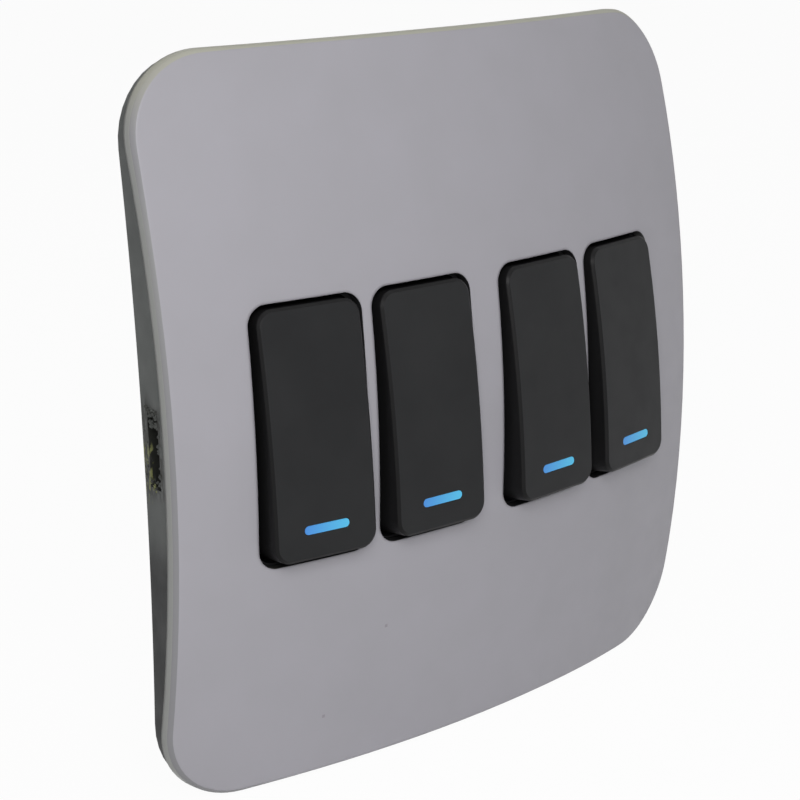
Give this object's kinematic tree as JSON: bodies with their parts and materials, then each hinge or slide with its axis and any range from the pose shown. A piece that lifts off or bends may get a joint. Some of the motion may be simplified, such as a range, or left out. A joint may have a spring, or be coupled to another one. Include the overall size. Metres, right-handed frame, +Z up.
{
  "type": "light switch",
  "caption": "Wall light switch with slim dark rockers, each with a blue light window, in a domed square silver-grey cover plate on a dark carrier frame.",
  "frame": {"origin": "centre of the cover plate on the wall plane", "axes": "-Y out of the wall towards the user, +Z up, +X to the user's right"},
  "size_m": [0.1204, 0.0419, 0.12],
  "materials": {
    "silver_plate": "satin",
    "dark_frame": "fine grain",
    "rocker_black": "satin",
    "module_black": "matt",
    "module_grey": "matt",
    "blue_light": "clear tinted, lit from behind",
    "nylon": "smooth",
    "spring_steel": "drawn",
    "contact_brass": "bright",
    "screw_steel": "zinc plated",
    "lamp_blue": "clear"
  },
  "bodies": {
    "carrier": {"cover_plate": "silver_plate", "carrier_frame": "dark_frame", "wall_screws": "screw_steel", "clamp_screws": "screw_steel", "housing_1": "module_black", "back_cover_1": "module_grey", "common_terminal_1": "contact_brass", "switched_terminal_1": "contact_brass", "locating_lamp_1": "lamp_blue", "housing_2": "module_black", "back_cover_2": "module_grey", "common_terminal_2": "contact_brass", "switched_terminal_2": "contact_brass", "locating_lamp_2": "lamp_blue", "housing_3": "module_black", "back_cover_3": "module_grey", "common_terminal_3": "contact_brass", "switched_terminal_3": "contact_brass", "locating_lamp_3": "lamp_blue", "housing_4": "module_black", "back_cover_4": "module_grey", "common_terminal_4": "contact_brass", "switched_terminal_4": "contact_brass", "locating_lamp_4": "lamp_blue"},
    "rocker_1": {"rocker_1": "rocker_black", "light_window_1": "blue_light", "plunger_1": "nylon", "plunger_spring_1": "spring_steel"},
    "blade_1": {"contact_blade_1": "contact_brass"},
    "rocker_2": {"rocker_2": "rocker_black", "light_window_2": "blue_light", "plunger_2": "nylon", "plunger_spring_2": "spring_steel"},
    "blade_2": {"contact_blade_2": "contact_brass"},
    "rocker_3": {"rocker_3": "rocker_black", "light_window_3": "blue_light", "plunger_3": "nylon", "plunger_spring_3": "spring_steel"},
    "blade_3": {"contact_blade_3": "contact_brass"},
    "rocker_4": {"rocker_4": "rocker_black", "light_window_4": "blue_light", "plunger_4": "nylon", "plunger_spring_4": "spring_steel"},
    "blade_4": {"contact_blade_4": "contact_brass"}
  },
  "joints": [
    {"name": "rocker_1_swing", "type": "hinge", "parent": "carrier", "child": "rocker_1", "pos_m": [-0.03562, -0.01107, 0], "axis": [0.987, -0.1606, 0], "range_deg": [0, 8]},
    {"name": "blade_1_rock", "type": "hinge", "parent": "carrier", "child": "blade_1", "pos_m": [-0.0331, 0.00443, 0], "axis": [0.987, -0.1606, 0], "range_deg": [-14, 0]},
    {"name": "rocker_2_swing", "type": "hinge", "parent": "carrier", "child": "rocker_2", "pos_m": [-0.01344, -0.01354, 0], "axis": [0.9982, -0.0606, 0], "range_deg": [0, 8]},
    {"name": "blade_2_rock", "type": "hinge", "parent": "carrier", "child": "blade_2", "pos_m": [-0.01249, 0.00213, 0], "axis": [0.9982, -0.0606, 0], "range_deg": [-14, 0]},
    {"name": "rocker_3_swing", "type": "hinge", "parent": "carrier", "child": "rocker_3", "pos_m": [0.01344, -0.01354, 0], "axis": [0.9982, 0.0606, 0], "range_deg": [0, 8]},
    {"name": "blade_3_rock", "type": "hinge", "parent": "carrier", "child": "blade_3", "pos_m": [0.01249, 0.00213, 0], "axis": [0.9982, 0.0606, 0], "range_deg": [-14, 0]},
    {"name": "rocker_4_swing", "type": "hinge", "parent": "carrier", "child": "rocker_4", "pos_m": [0.03562, -0.01107, 0], "axis": [0.987, 0.1606, 0], "range_deg": [0, 8]},
    {"name": "blade_4_rock", "type": "hinge", "parent": "carrier", "child": "blade_4", "pos_m": [0.0331, 0.00443, 0], "axis": [0.987, 0.1606, 0], "range_deg": [-14, 0]}
  ],
  "couplings": [
    {"joint": "blade_1_rock", "follows": "rocker_1_swing", "ratio": -1.75},
    {"joint": "blade_2_rock", "follows": "rocker_2_swing", "ratio": -1.75},
    {"joint": "blade_3_rock", "follows": "rocker_3_swing", "ratio": -1.75},
    {"joint": "blade_4_rock", "follows": "rocker_4_swing", "ratio": -1.75}
  ]
}
